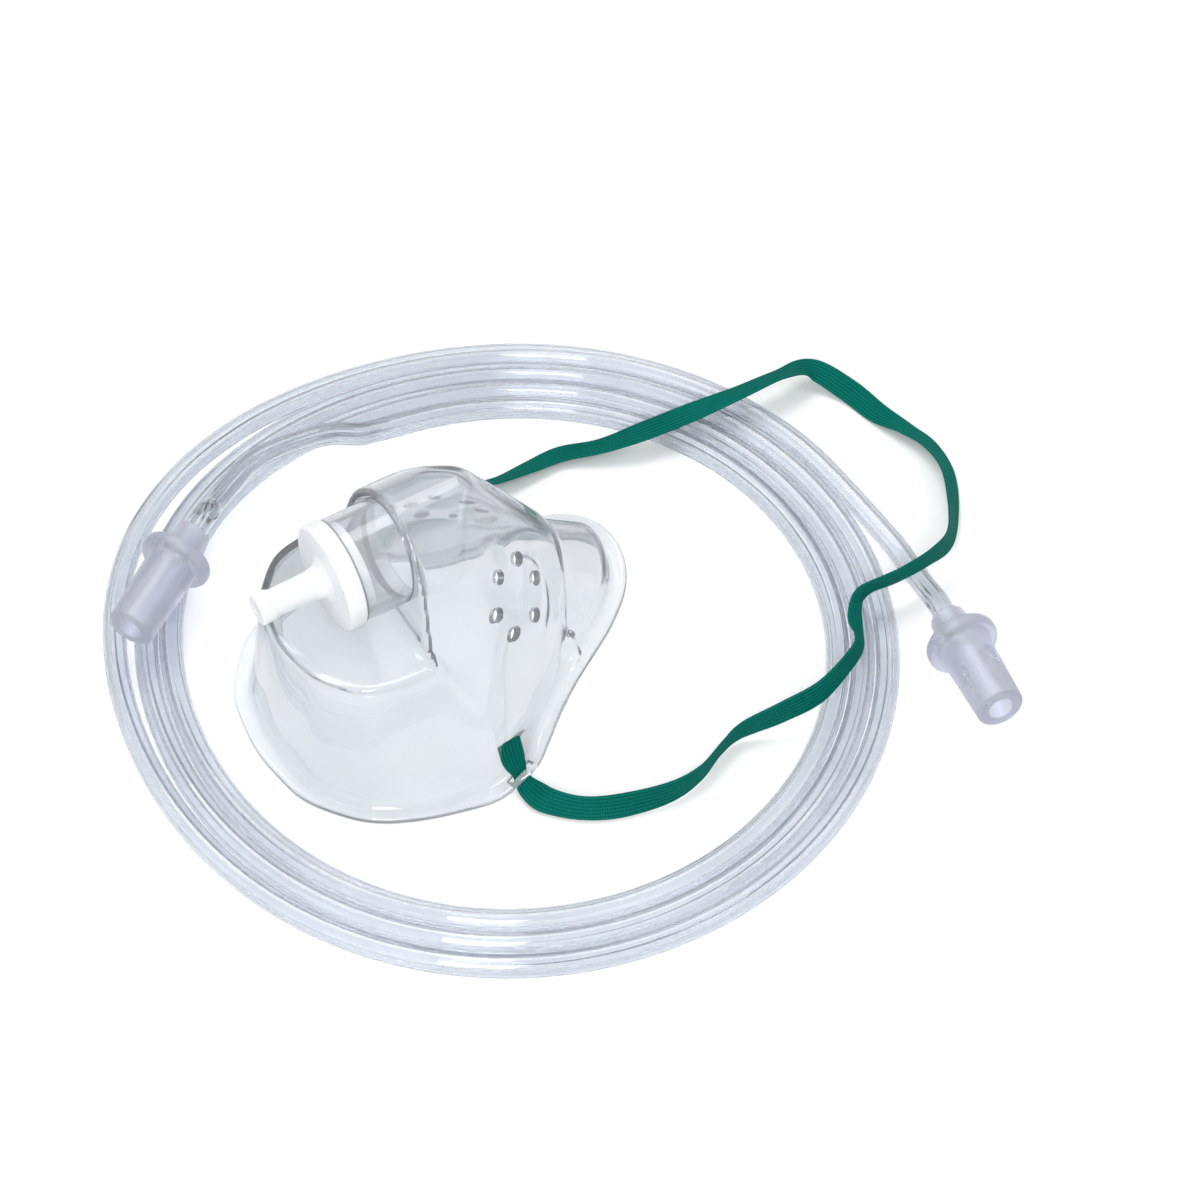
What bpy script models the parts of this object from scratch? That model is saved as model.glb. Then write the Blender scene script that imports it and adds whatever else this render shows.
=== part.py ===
"""Simple oxygen face mask with its head strap and a coil of oxygen tubing.

The mask lies face down on a flat surface.  +X points from chin to nose, +Z up, and the XZ plane is
the mask's plane of symmetry.  The origin is under the middle of the mask, on the surface it lies on.
Driving dimensions are in millimetres; MM turns them into metres.
"""
import math

import bmesh
import bpy
import numpy as np
from mathutils import Matrix, Vector

MM = 0.001
GAP = 0.3                       # clearance between neighbouring pieces

# Mask shell
LENGTH = 109.0                  # chin to nose
WALL = 1.6                      # wall and flange thickness
FLANGE = 5.0                    # width of the flat flange round the rim
LEVELLING = 0.05                # added to the wall so that the flange's underside stays level
LOWEST = 6.0                    # the chamber's faces come no nearer to the rim's height than this
SHELF = 41.0                    # height of the flat chin shelf
ROOF = 74.0                     # height of the chamber's crown
ROOF_SPREAD = 27.0              # the crown falls by half-width squared over this
STEP_START = 39.5               # where the wall that carries the port meets the shelf
STEP_RISE = 6.0                 # its height per length
FLANK_RISE = 2.9                # the chamber's sides, height per width
FLANK_WIDTH = 26.0              # half-width at the shelf's height, widest at FLANK_AT
FLANK_AT = 55.0
FLANK_CURVE = 0.008             # how fast the half-width falls away from there
ARCH_AT = 89.0                  # where the chamber ends above the nose lobe
ARCH_HEIGHT = 39.0
ARCH_FALL = 3.5
NOSE_RISE = 0.43                # how fast the rim lifts towards the nose
NOSE_RISE_START = 63.0
TAB_LIFT = 3.0                  # the rim arches over the strap beside each slot
TAB_AT = 55.0
RIM = [(0, 0), (1, 10), (3.4, 20), (10.5, 30.4), (17, 36.2), (26.5, 40.8), (38, 44.2), (49, 45.8),
       (58, 43.4), (66, 37.8), (73, 32.8), (81, 28), (88, 24.8), (95, 21.5), (103, 15.5),
       (107.5, 8), (109, 0)]    # distance from the chin, half-width
SHELF_INSET = [(0, 8.5), (11, 9.6), (24, 11.6), (34, 14), (45, 17), (55, 16), (65, 12), (75, 10),
               (90, 9), (110, 8)]    # distance from the chin, rim to the shelf's edge
PAD = (68.4, 19.1, 41.8)        # centre of the near cheek pad: from the chin, from the middle, height
PAD_NORMAL = (0.567, 0.7145, 0.41)
VENTS = 6
VENT_CIRCLE = 9.5               # radius of the circle the vents lie on
VENT_RADIUS = 2.0
VENT_TOP = (0.41, 0.68, 0.62)    # from a pad's centre to its topmost vent
SLOT = (8.4, 2.0)               # strap slot: length along the rim, width

# Port and gas connector
PORT_HEIGHT = 58.5
PORT_START = 29.0
PORT_END = 48.0
PORT_RADIUS = 14.0
PORT_BORE = 12.6
CAP_RADIUS = 14.5
CAP_THICKNESS = 5.0
SKIRT_LENGTH = 3.2
NIPPLE_START = 4.8

# Strap
STRAP_WIDTH = 7.0
STRAP_THICKNESS = 1.0

# Tubing
TUBE_RADIUS = 3.2
COIL_CENTRE = (20.5, -6.0)
COIL_INNER = 79.5
COIL_OUTER = 107.0
COIL_HEIGHT = 7.0
CONNECTOR_LENGTH = 35.0
NECK_LENGTH = 10.0

# Routes, chosen by hand on the surface that everything lies on
STRAP_ROUTE = [(0.5, -46.4, 4.2), (2, -53.4, 4.2), (8, -60.2, 4.2), (17, -64.7, 4.2), (30, -67.9, 4.2),
               (40, -67, 4.2), (49, -63, 4.2), (56, -61.2, 4.6), (67, -63.6, 8), (78, -65, 11.2),
               (90, -60.6, 11.3), (95.4, -57, 11.3), (98.4, -50.8, 11.3), (102.8, -44.9, 11.3),
               (108, -43, 11.3), (117.3, -43.5, 11.3), (127.6, -43, 11.9), (137.6, -38.2, 9),
               (148, -25, 4.6), (153.6, -14, 4.2), (154.8, -3.6, 4.2), (152.6, 4.8, 4.2),
               (149.7, 14.3, 4.2), (146.7, 25, 4.6), (140.4, 34.6, 8.4), (130, 34.6, 11),
               (116.5, 35.1, 11.3), (101, 36.6, 11.3), (86, 38.2, 10.4), (75, 42, 6.4),
               (65.2, 46.6, 4.6), (55.4, 46.8, 4.2), (45, 46.6, 4.2), (36, 49, 4.2), (24, 51, 4.2),
               (12, 51, 4.2), (4, 49.2, 4.2), (0.5, 46.4, 4.2)]
LEAD_RIGHT_ROUTE = [(125.1, -41.8, 3.6), (124, -48, 5.4)]
LEAD_LEFT_ROUTE = [(-12, 81.5, 10.6), (-22, 76.4, 11.6), (-31, 69.4, 15.2)]
RIGHT_NECK = (121.0, -60.6, 9.2)
RIGHT_DIRECTION = (-0.19, -0.976, 0.1)
LEFT_NECK = (-40.0, 61.0, 18.8)
LEFT_DIRECTION = (-0.83, -0.555, -0.04)


def clear_scene():
    for obj in list(bpy.data.objects):
        bpy.data.objects.remove(obj)


def material(name, colour, roughness, alpha=1.0):
    mat = bpy.data.materials.new(name)
    mat.use_nodes = True
    shader = mat.node_tree.nodes["Principled BSDF"]
    shader.inputs["Base Color"].default_value = (*colour, 1.0)
    shader.inputs["Roughness"].default_value = roughness
    shader.inputs["Metallic"].default_value = 0.0
    shader.inputs["Alpha"].default_value = alpha
    return mat


def mesh_object(name, points, faces, mat, cutter=False):
    """One object from points in millimetres."""
    mesh = bpy.data.meshes.new(name)
    mesh.from_pydata([tuple(c * MM for c in p) for p in points], [], faces)
    bm = bmesh.new()
    bm.from_mesh(mesh)
    bmesh.ops.recalc_face_normals(bm, faces=bm.faces)
    bm.to_mesh(mesh)
    bm.free()
    mesh.shade_smooth()
    mesh.set_sharp_from_angle(angle=math.radians(35))
    obj = bpy.data.objects.new(name, mesh)
    bpy.context.collection.objects.link(obj)
    if mat:
        mesh.materials.append(mat)
    if cutter:
        obj.hide_render = True
        obj.display_type = "WIRE"
    return obj


def boolean(obj, other, operation):
    mod = obj.modifiers.new(other.name, "BOOLEAN")
    mod.object = other
    mod.operation = operation
    mod.solver = "EXACT"


def smooth_route(route, spacing):
    """Points about one spacing apart along a smooth curve through the route's own points."""
    pts = [Vector(p) for p in route]
    pts = [2 * pts[0] - pts[1]] + pts + [2 * pts[-1] - pts[-2]]
    out = []
    for a, b, c, d in zip(pts, pts[1:], pts[2:], pts[3:]):
        steps = max(1, round((c - b).length / spacing))
        for i in range(steps):
            t = i / steps
            out.append(0.5 * (2 * b + (c - a) * t + (2 * a - 5 * b + 4 * c - d) * t * t
                              + (3 * b - a - 3 * c + d) * t ** 3))
    return out + [pts[-2]]


# ---- the shell's surface, as a height over the plane it lies on -------------------------------

def rim_outline(per_span):
    """The closed rim: the near half from chin to nose, then the far half back."""
    first = (RIM[1][0], -RIM[1][1], 0)
    last = (RIM[-2][0], -RIM[-2][1], 0)
    pts = [Vector(first)] + [Vector((s, w, 0)) for s, w in RIM] + [Vector(last)]
    half = []
    for a, b, c, d in zip(pts, pts[1:], pts[2:], pts[3:]):
        for i in range(per_span):
            t = i / per_span
            half.append(0.5 * (2 * b + (c - a) * t + (2 * a - 5 * b + 4 * c - d) * t * t
                               + (3 * b - a - 3 * c + d) * t ** 3))
    half = np.array([(p.x, p.y) for p in half] + [(LENGTH, 0.0)])
    return np.vstack([half * [1, -1], half[-2:0:-1]])


def distance_to(outline, points):
    """Distance of each point from the closed outline."""
    start = outline
    edge = np.roll(outline, -1, axis=0) - start
    offset = points[:, None, :] - start
    t = np.clip((offset * edge).sum(-1) / (edge ** 2).sum(-1), 0, 1)
    return np.sqrt(((offset - edge * t[..., None]) ** 2).sum(-1)).min(-1)


def soft_min(radius, *heights):
    low = np.minimum.reduce(heights)
    return low - radius * np.log(sum(np.exp(-(h - low) / radius) for h in heights))


def soft_max(radius, *heights):
    return -soft_min(radius, *[-h for h in heights])


def rim_height(s):
    nose = 4.0 * NOSE_RISE * np.log1p(np.exp((s - NOSE_RISE_START) / 4.0))
    return nose + TAB_LIFT * np.exp(-((s - TAB_AT) / 6.5) ** 2)


def body_height(s, y):
    """Chin shelf, nose and mouth chamber, and nose lobe, without the side walls."""
    side = np.sqrt(y * y + 1.0)
    shelf = SHELF - 2.5 * np.maximum(s - STEP_START, 0)
    roof = ROOF - side ** 2 / ROOF_SPREAD
    step = SHELF + STEP_RISE * (s - STEP_START)
    pad = PAD[2] - (PAD_NORMAL[0] * (s - PAD[0]) + PAD_NORMAL[1] * (side - PAD[1])) / PAD_NORMAL[2]
    flank = SHELF + 2 + FLANK_RISE * (FLANK_WIDTH - FLANK_CURVE * (s - FLANK_AT) ** 2 - side)
    ridge = 60.0 - 1.5 * (s - 74.5)
    arch = ARCH_HEIGHT - 0.04 * y ** 2 - ARCH_FALL * (s - ARCH_AT + 0.0225 * y ** 2)
    chamber = soft_min(1.6, roof, step, soft_min(3.0, pad, flank), ridge, arch)
    lobe = np.minimum(27.0 - 0.75 * (s - 101.5), 36.0) - side ** 2 / 17.0
    return soft_max(1.2, shelf, chamber, lobe)


def outer_height(outline, points):
    s, y = points[:, 0], points[:, 1]
    inset = np.interp(s, *zip(*SHELF_INSET))
    climb = SHELF / (inset - FLANGE)
    wall = climb * soft_max(0.5, distance_to(outline, points) - FLANGE, np.zeros(len(s)))
    base = rim_height(s)
    body = soft_max(1.0, body_height(s, y) - base, np.full(len(s), LOWEST))
    return base + WALL + soft_min(2.0, wall, body)


def inner_height(outline, points, outer):
    """The inside face: one wall thickness in from the outer face, and level with the flange."""
    step = 0.25
    along = outer_height(outline, points + [step, 0]) - outer_height(outline, points - [step, 0])
    across = outer_height(outline, points + [0, step]) - outer_height(outline, points - [0, step])
    slope = np.hypot(along, across) / (2 * step)
    return np.maximum(rim_height(points[:, 0]), outer - WALL * np.sqrt(1 + slope ** 2) - LEVELLING)


def shell_rings(outline):
    """Rings of plan points from the rim to the spine, closer together on the side walls."""
    spine = np.stack([np.clip(outline[:, 0], 34, 92), np.zeros(len(outline))], axis=1)
    inward = spine - outline
    length = np.linalg.norm(inward, axis=1)
    wall = np.interp(outline[:, 0], *zip(*SHELF_INSET)) * 1.12
    fixed = [0, 0.5 * FLANGE, FLANGE - 0.6]
    climb = [0.0, 0.2, 0.42, 0.65, 0.88, 1.1]
    rest = [0.12, 0.26, 0.4, 0.54, 0.68, 0.8, 0.91]
    depths = [np.full(len(outline), d) for d in fixed]
    depths += [FLANGE + (wall - FLANGE) * c for c in climb]
    edge = depths[-1]
    depths += [edge + (length - edge) * r for r in rest]
    return [outline + inward * (np.minimum(d, length) / length)[:, None] for d in depths], spine


def grid_faces(rings, count, offset, flip):
    faces = []
    for r in range(rings - 1):
        for i in range(count):
            j = (i + 1) % count
            quad = [offset + r * count + i, offset + r * count + j,
                    offset + (r + 1) * count + j, offset + (r + 1) * count + i]
            faces.append(quad[::-1] if flip else quad)
    return faces


def shell_skin():
    """The closed skin between the outer and the inner face."""
    outline = rim_outline(2)
    count = len(outline)
    rings, spine = shell_rings(outline)
    half = count // 2
    middle = np.stack([np.linspace(34, 92, 15), np.zeros(15)], axis=1)
    plan = np.vstack(rings + [middle])
    outer = outer_height(outline, plan)
    inner = inner_height(outline, plan, outer)
    points = [(x, y, z) for (x, y), z in zip(plan, outer)]
    points += [(x, y, z) for (x, y), z in zip(plan, inner)]
    total = len(plan)
    faces = grid_faces(len(rings), count, 0, False)
    faces += grid_faces(len(rings), count, total, True)
    for i in range(count):
        j = (i + 1) % count
        faces.append([i, total + i, total + j, j])
    last = (len(rings) - 1) * count
    near = [last + i for i in range(half + 1)]
    far = [last + (count - i) % count for i in range(half + 1)]
    seam = [len(rings) * count + k for k in range(15)]
    plan_x = plan[:, 0]
    for side, flip in ((near, False), (far, True)):
        for offset in (0, total):
            faces += stitch(side, seam, plan_x, offset, flip)
    return points, faces


def stitch(side, seam, x, offset, flip):
    """Triangles between the last ring's half and the spine, both running from chin to nose."""
    faces = []
    i = 0
    k = 0
    while i < len(side) - 1 or k < len(seam) - 1:
        ring_next = x[side[i + 1]] if i < len(side) - 1 else math.inf
        seam_next = x[seam[k + 1]] if k < len(seam) - 1 else math.inf
        if ring_next <= seam_next:
            tri = [side[i], side[i + 1], seam[k]]
            i += 1
        else:
            tri = [side[i], seam[k + 1], seam[k]]
            k += 1
        tri = [offset + v for v in tri]
        faces.append(tri[::-1] if flip else tri)
    return faces


# ---- turned and swept pieces --------------------------------------------------------------------

def turned_points(profile, segments, frame):
    """Rings of a closed profile of (distance along the axis, radius), turned about frame's X."""
    points = []
    for i in range(segments):
        angle = 2 * math.pi * i / segments
        for along, radius in profile:
            points.append(frame @ Vector((along, radius * math.cos(angle), radius * math.sin(angle))))
    return points


def turned(name, profile, segments, frame, mat, cutter=False):
    count = len(profile)
    faces = []
    for i in range(segments):
        j = (i + 1) % segments
        for k in range(count):
            n = (k + 1) % count
            faces.append([i * count + k, i * count + n, j * count + n, j * count + k])
    return mesh_object(name, turned_points(profile, segments, frame), faces, mat, cutter)


def cylinder_data(start, axis, length, radius, segments):
    """Points and faces of one capped cylinder."""
    turn = Vector(axis).to_track_quat("X", "Z").to_matrix().to_4x4()
    frame = Matrix.Translation(Vector(start)) @ turn
    points = []
    for along in (0, length):
        for i in range(segments):
            a = 2 * math.pi * i / segments
            points.append(frame @ Vector((along, radius * math.cos(a), radius * math.sin(a))))
    faces = [list(range(segments))[::-1], list(range(segments, 2 * segments))]
    for i in range(segments):
        j = (i + 1) % segments
        faces.append([i, j, segments + j, segments + i])
    return points, faces


def cylinders(name, list_of_data):
    points = []
    faces = []
    for pts, fcs in list_of_data:
        faces += [[v + len(points) for v in f] for f in fcs]
        points += pts
    return mesh_object(name, points, faces, None, cutter=True)


def axis_frame(start, direction):
    turn = Vector(direction).normalized().to_track_quat("X", "Z").to_matrix().to_4x4()
    return Matrix.Translation(Vector(start)) @ turn


def ribbon(name, route, spacing, mat):
    """A flat tape standing on its edge along a route."""
    path = smooth_route(route, spacing)
    points = []
    for k, p in enumerate(path):
        ahead = path[min(k + 1, len(path) - 1)] - path[max(k - 1, 0)]
        side = Vector((-ahead.y, ahead.x, 0)).normalized() * STRAP_THICKNESS / 2
        up = Vector((0, 0, STRAP_WIDTH / 2))
        points += [p + side + up, p - side + up, p - side - up, p + side - up]
    faces = [[0, 1, 2, 3], [4 * len(path) - 1 - i for i in range(4)]]
    for k in range(len(path) - 1):
        for i in range(4):
            j = (i + 1) % 4
            faces.append([4 * k + i, 4 * k + 4 + i, 4 * k + 4 + j, 4 * k + j])
    return mesh_object(name, points, faces, mat)


def approach(neck, direction):
    """The last stretch of a lead, straight into its connector."""
    end = Vector(neck)
    return [tuple(end - 2 * TUBE_RADIUS * Vector(direction).normalized()), tuple(end)]


def tube(name, route, mat):
    curve = bpy.data.curves.new(name, "CURVE")
    curve.dimensions = "3D"
    curve.bevel_depth = TUBE_RADIUS * MM
    curve.bevel_resolution = 3
    curve.use_fill_caps = True
    path = smooth_route(route, 5 * TUBE_RADIUS)
    spline = curve.splines.new("POLY")
    spline.points.add(len(path) - 1)
    for point, p in zip(spline.points, path):
        point.co = (p.x * MM, p.y * MM, p.z * MM, 1)
    curve.materials.append(mat)
    obj = bpy.data.objects.new(name, curve)
    bpy.context.collection.objects.link(obj)
    return obj


# ---- the sub-parts --------------------------------------------------------------------------------

def mask_shell(mat):
    points, faces = shell_skin()
    centre = Vector((LENGTH / 2, 0, 0))
    shell = mesh_object("mask_shell", [Vector(p) - centre for p in points], faces, mat)
    start = (PORT_START - LENGTH / 2, 0, PORT_HEIGHT)
    spigot = cylinder_data(start, (1, 0, 0), PORT_END - PORT_START, PORT_RADIUS, 32)
    boolean(shell, cylinders("port_wall", [spigot]), "UNION")
    start = (PORT_START - 2 - LENGTH / 2, 0, PORT_HEIGHT)
    bore = cylinder_data(start, (1, 0, 0), PORT_END - PORT_START + 4, PORT_BORE, 32)
    boolean(shell, cylinders("port_bore", [bore]), "DIFFERENCE")
    boolean(shell, cylinders("vent_drills", vent_drills()), "DIFFERENCE")
    boolean(shell, slot_cutter(), "DIFFERENCE")
    return shell


def vent_drills():
    drills = []
    for side in (-1, 1):
        normal = Vector((PAD_NORMAL[0], side * PAD_NORMAL[1], PAD_NORMAL[2])).normalized()
        centre = Vector((PAD[0] - LENGTH / 2, side * PAD[1], PAD[2] + WALL))
        up = Vector((VENT_TOP[0], -side * VENT_TOP[1], VENT_TOP[2]))
        up = (up - normal * normal.dot(up)).normalized()
        across = normal.cross(up)
        for k in range(VENTS):
            angle = 2 * math.pi * k / VENTS
            spot = centre + VENT_CIRCLE * (math.cos(angle) * up + math.sin(angle) * across)
            drills.append(cylinder_data(spot - 6 * normal, normal, 12, VENT_RADIUS, 12))
    return drills


def slot_cutter():
    """Both strap slots, through the flange beside its widest place."""
    points = []
    faces = []
    half_long, half_wide = SLOT[0] / 2, SLOT[1] / 2
    for side in (-1, 1):
        turn = Matrix.Rotation(side * math.radians(-18), 4, "Z")
        centre = Vector((TAB_AT - LENGTH / 2, side * 41.4, 4))
        first = len(points)
        for z in (-6, 6):
            for x, y in ((-half_long, -half_wide), (half_long, -half_wide),
                         (half_long, half_wide), (-half_long, half_wide)):
                points.append(centre + turn @ Vector((x, y, z)))
        for face in ((3, 2, 1, 0), (4, 5, 6, 7), (0, 1, 5, 4), (1, 2, 6, 5), (2, 3, 7, 6), (3, 0, 4, 7)):
            faces.append([first + v for v in face])
    return mesh_object("strap_slots", points, faces, None, cutter=True)


def gas_connector(mat):
    """Cap with a nipple, turned about the port's axis; its skirt plugs into the port."""
    cap_back = PORT_START - GAP
    cap_front = cap_back - CAP_THICKNESS
    skirt = PORT_BORE - GAP
    skirt_end = cap_back + SKIRT_LENGTH
    tip = NIPPLE_START
    profile = [(tip, 1.9), (tip, 3.8), (tip + 0.6, 4.2), (tip + 3.6, 4.1), (tip + 4.6, 3.6),
               (cap_front - 4, 3.8), (cap_front - 1, 4.6), (cap_front, 6.4),
               (cap_front, CAP_RADIUS - 1.6), (cap_front + 0.5, CAP_RADIUS - 0.5),
               (cap_front + 1.6, CAP_RADIUS), (cap_back - 0.8, CAP_RADIUS),
               (cap_back, CAP_RADIUS - 0.8), (cap_back, skirt), (skirt_end - 0.6, skirt - 0.2),
               (skirt_end, skirt - 0.8), (skirt_end, skirt - 2), (cap_back - 1.5, skirt - 2),
               (cap_back - 1.5, 1.9)]
    frame = Matrix.Translation(Vector((-LENGTH / 2, 0, PORT_HEIGHT)))
    return turned("gas_connector", profile, 32, frame, mat)


def tube_connector(name, neck, direction, mat):
    """Soft push-on connector: a neck round the tube, a finger flange and a tapered nozzle."""
    end = CONNECTOR_LENGTH
    profile = [(GAP, 2.2), (GAP, 4.5), (GAP + 0.6, 5.0), (NECK_LENGTH - 2, 5.8), (NECK_LENGTH - 1.4, 9.2),
               (NECK_LENGTH - 0.6, 10.0), (NECK_LENGTH + 0.6, 10.0), (NECK_LENGTH + 1.4, 9.2),
               (NECK_LENGTH + 2, 7.0), (end - 1, 6.4), (end, 5.6), (end, 3.3), (NECK_LENGTH + 4, 3.0),
               (NECK_LENGTH + 1, 2.2)]
    return turned(name, profile, 24, axis_frame(neck, direction), mat)


def tube_coil(mat):
    """The space that the coiled tube fills: a ring with rounded edges."""
    edge = 2.2
    top = COIL_HEIGHT
    profile = [(0, COIL_INNER + edge), (edge * 0.7, COIL_INNER + edge * 0.3), (top / 2, COIL_INNER),
               (top - edge * 0.7, COIL_INNER + edge * 0.3), (top, COIL_INNER + edge),
               (top, COIL_OUTER - edge), (top - edge * 0.7, COIL_OUTER - edge * 0.3),
               (top / 2, COIL_OUTER), (edge * 0.7, COIL_OUTER - edge * 0.3), (0, COIL_OUTER - edge)]
    frame = axis_frame((*COIL_CENTRE, 0), (0, 0, 1))
    return turned("tube_coil", profile, 72, frame, mat)


def main():
    clear_scene()
    clear_pvc = material("clear_pvc", (0.86, 0.89, 0.93), 0.12, 0.4)
    white = material("white_polypropylene", (0.93, 0.94, 0.95), 0.35)
    elastic = material("green_elastic", (0.0, 0.2, 0.14), 0.8)
    tubing = material("clear_tube", (0.84, 0.87, 0.92), 0.12, 0.5)
    lilac = material("lilac_pvc", (0.76, 0.76, 0.88), 0.2, 0.7)
    mask_shell(clear_pvc)
    gas_connector(white)
    ribbon("head_strap", STRAP_ROUTE, 6.0, elastic)
    tube_coil(tubing)
    tube("tube_lead_right", LEAD_RIGHT_ROUTE + approach(RIGHT_NECK, RIGHT_DIRECTION), tubing)
    tube("tube_lead_left", LEAD_LEFT_ROUTE + approach(LEFT_NECK, LEFT_DIRECTION), tubing)
    tube_connector("tube_connector_right", RIGHT_NECK, RIGHT_DIRECTION, lilac)
    tube_connector("tube_connector_left", LEFT_NECK, LEFT_DIRECTION, lilac)


main()
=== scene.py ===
"""Looks of a simple oxygen face mask: clear shell, white gas connector, green head strap and coiled tubing.

The script's own unit is the millimetre, in the part's frame: +X from chin to nose, +Z up, the surface
that everything lies on at z = 0.  The shell's formulas use s, the distance from the chin, in place of x.
"""
import math

import bmesh
import bpy
import numpy as np
from mathutils import Matrix, Vector

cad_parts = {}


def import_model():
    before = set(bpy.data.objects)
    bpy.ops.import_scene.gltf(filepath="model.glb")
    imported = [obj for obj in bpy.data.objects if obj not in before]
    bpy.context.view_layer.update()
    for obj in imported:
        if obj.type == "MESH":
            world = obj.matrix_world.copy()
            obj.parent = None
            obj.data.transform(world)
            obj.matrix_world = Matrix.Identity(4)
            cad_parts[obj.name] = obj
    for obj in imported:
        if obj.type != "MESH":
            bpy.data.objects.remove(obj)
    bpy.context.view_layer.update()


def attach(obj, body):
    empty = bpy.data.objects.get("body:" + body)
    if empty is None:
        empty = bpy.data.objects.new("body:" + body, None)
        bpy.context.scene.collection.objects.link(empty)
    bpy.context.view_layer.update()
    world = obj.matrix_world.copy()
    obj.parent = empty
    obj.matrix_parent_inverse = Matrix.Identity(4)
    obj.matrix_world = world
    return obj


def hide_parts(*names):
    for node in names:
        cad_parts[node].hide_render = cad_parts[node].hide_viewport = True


MM = 0.001

# Camera
VIEW_AZIMUTH = math.radians(-31)
VIEW_ELEVATION = math.radians(52)
VIEW_DISTANCE = 950.0
VIEW_TARGET = (48.7, -2.0, 0.0)
LENS = 105.45
SENSOR = 36.0
BOUNCES = 24

# Surface that everything lies on, far wider than any view of it
FLOOR_HALF = 20000.0

# Light: a white sky and three softboxes, each with its place, size and power
SKY_STRENGTH = 0.66
LAMP_TARGET = (40, 0, 20)
LAMPS = [("key", (-420, -520, 700), (260, 520), 4.3),
         ("fill", (650, -420, 620), (400, 400), 0.9),
         ("top", (40, 350, 900), (700, 400), 3.4)]

# Mask shell
LENGTH = 109.0
WALL = 1.4
FLANGE = 5.0
LOWEST = 6.0                    # the chamber's faces come no nearer to the rim's height than this
BEAD = 1.15                     # radius of the rolled bead along the rim
SHELF = 41.0
ROOF = 74.0
ROOF_SPREAD = 27.0
STEP_START = 39.5
STEP_RISE = 9.0
COVE_RADIUS = 5.0               # of the hollow at the foot of the step
COVE_REACH = 0.895              # how many radii before the step it starts
SHELF_FALL = 2.5                # how steeply the shelf drops away behind the step, out of sight
VALLEY_RADIUS = 5.0             # how softly the chin wall runs into the chamber's sides
FLANK_RISE = 2.9                # the chamber's sides, height per width
FLANK_WIDTH = 26.0              # half-width at the shelf's height, widest at FLANK_AT
FLANK_AT = 55.0
FLANK_CURVE = 0.008             # how fast the half-width falls away from there
ARCH_AT = 89.0                  # where the chamber ends above the nose lobe
ARCH_HEIGHT = 39.0
ARCH_FALL = 6.0
ARCH_DROOP = 0.04               # how fast the arch gets lower to its sides
ARCH_BOW = 0.0225               # how fast it goes back to the chin there
RIDGE_AT = 74.5                 # where the slope from the chamber's roof down to the nose starts
RIDGE_HEIGHT = 60.0
RIDGE_FALL = 1.5
LOBE_AT = 101.5                 # nose lobe: its height there, its fall, its top and its roundness
LOBE_HEIGHT = 27.0
LOBE_FALL = 0.75
LOBE_SLANT = 0.56               # about the square of that fall
LOBE_TOP = 36.0
LOBE_SPREAD = 17.0
BOSS = (82.5, 20.8)             # small round boss at each foot of the arch
BOSS_RADIUS = 2.6
BOSS_RISE = 3.2
NOSE_RISE = 0.43
NOSE_RISE_START = 63.0
NOSE_BLEND = 4.0
TAB_LIFT = 3.0
TAB_AT = 55.0
TAB_SPREAD = 6.5
RIM = [(0, 0), (1, 10), (3.4, 20), (10.5, 30.4), (17, 36.2), (26.5, 40.8), (38, 44.2), (49, 46.2),
       (58, 44.2), (66, 38.2), (73, 32.8), (81, 28), (88, 24.8), (95, 21.5), (103, 15.5),
       (107.5, 8), (109, 0)]
SHELF_INSET = [(0, 8.5), (11, 9.6), (24, 11.6), (34, 14), (45, 17), (55, 16), (65, 12), (75, 10),
               (90, 9), (110, 8)]
# How softly the shell's faces run into each other
ROOF_BLEND = 1.4
FLANK_BLEND = 3.0
SHELF_BLEND = 1.2
BESIDE_BLEND = 1.5
WALL_BLEND = 2.0
LOWEST_BLEND = 1.0
RIM_BLEND = 0.5
# Where the half-columns of the shell's mesh meet, and how fine that mesh is
SPINE_START = 46.0
SPINE_SHARE = 0.33
OUTER_START = 2.6               # how many bead radii in from the rim each face starts
INNER_START = 2.2
COLUMN_SPACING = 0.85
OUTLINE_SPACING = 0.3
SAMPLES = 260
OUTER_ROWS = 120
INNER_ROWS = 110
BEAD_STEPS = 12
BEAD_ARC = (150, -90)           # degrees, from the flange's top round to its underside

# Cheek vents and strap slots
PAD = (68.4, 19.1, 41.8)
PAD_NORMAL = (0.567, 0.7145, 0.41)
VENTS = 6
VENT_CIRCLE = 9.5
VENT_RADIUS = 2.0
VENT_TOP = (0.41, -0.68, 0.62)    # from a pad's centre to its topmost vent
DISC_RADIUS = 13.0
DISC_RISE = 0.45
DISC_EDGE = 0.35
DRILL_REACH = 6.0
SLOT = (8.4, 2.0)
SLOT_HALF_WIDTH = 42.5
SLOT_HEIGHT = 4.0
SLOT_REACH = 6.0
SLOT_TURN = math.radians(18)

# Port and gas connector
PORT_HEIGHT = 58.5
PORT_START = 29.0
PORT_END = 44.6
PORT_RADIUS = 14.0
PORT_BORE = 12.6
CAP_RADIUS = 14.5
CAP_THICKNESS = 5.0
SKIRT_LENGTH = 3.2
NIPPLE_START = 4.8
NIPPLE_RADIUS = 4.2
NIPPLE_WAIST = 3.6
NIPPLE_BORE = 1.9
GAP = 0.3
PAST_PORT = 2.0                 # how far the bore's cutter sticks out of the port at each end

# Strap
STRAP_WIDTH = 7.0
STRAP_THICKNESS = 0.9
STRAP_RIBS = 7
RIB_DEPTH = 0.09
RIB_STEPS = 6
LEAN_REACH = 5
STRAP_SQUEEZE = 0.35            # how much narrower the tape is where it goes through a slot
SQUEEZE_SPREAD = 4.0
SLOT_POINT = 4                  # which point of the tail is in the slot

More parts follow.
